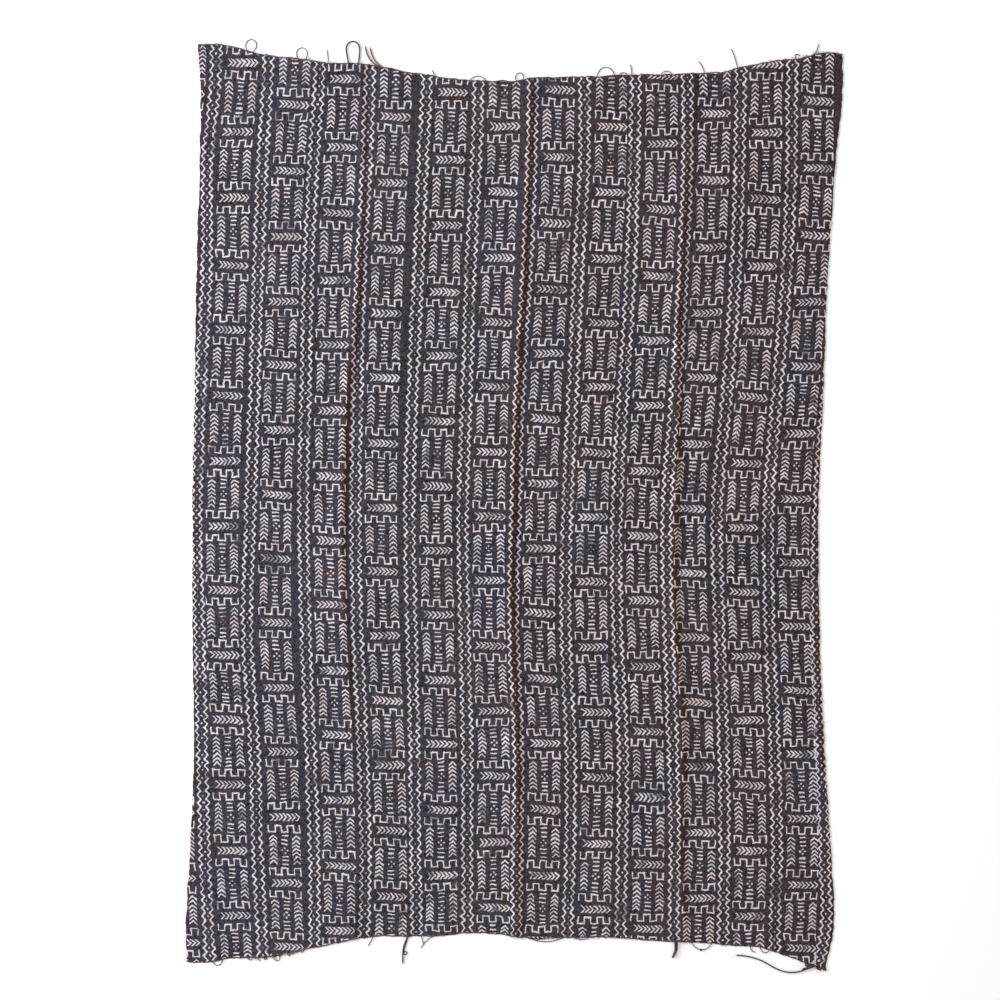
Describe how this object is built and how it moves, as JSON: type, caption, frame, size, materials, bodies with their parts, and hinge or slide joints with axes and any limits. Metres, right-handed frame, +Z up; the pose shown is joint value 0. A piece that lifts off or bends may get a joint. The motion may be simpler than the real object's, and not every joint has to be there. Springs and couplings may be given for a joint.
{
  "type": "bogolan mud cloth",
  "caption": "Wrapper cloth of narrow handwoven cotton strips, dyed dark with a pale geometric pattern, lying flat with soft long folds, curved ends and loose end threads.",
  "frame": {"origin": "centre of the cloth's overall box, on the floor it lies on", "axes": "+Y along the strips towards the top end of the cloth, +X across the strips to the right, +Z up out of the patterned face"},
  "size_m": [1.1814, 1.6798, 0.0095],
  "materials": {
    "dyed_cotton": "matte handwoven cotton, charcoal ground with off-white figures",
    "thread_end": "matte cotton, frayed ends and loose dark threads"
  },
  "bodies": {
    "root": {"strip_01": "dyed_cotton", "strip_02": "dyed_cotton", "strip_03": "dyed_cotton", "strip_04": "dyed_cotton", "strip_05": "dyed_cotton", "strip_06": "dyed_cotton", "strip_07": "dyed_cotton", "strip_08": "dyed_cotton", "strip_09": "dyed_cotton", "strip_10": "dyed_cotton", "strip_11": "dyed_cotton", "strip_12": "dyed_cotton", "top_end_01": "thread_end", "top_end_02": "thread_end", "top_end_03": "thread_end", "top_end_04": "thread_end", "top_end_05": "thread_end", "top_end_06": "thread_end", "top_end_08": "thread_end", "top_end_09": "thread_end", "top_end_10": "thread_end", "top_end_12": "thread_end", "bottom_end_01": "thread_end", "bottom_end_02": "thread_end", "bottom_end_04": "thread_end", "bottom_end_05": "thread_end", "bottom_end_10": "thread_end", "bottom_end_11": "thread_end", "bottom_end_12": "thread_end"}
  },
  "joints": []
}
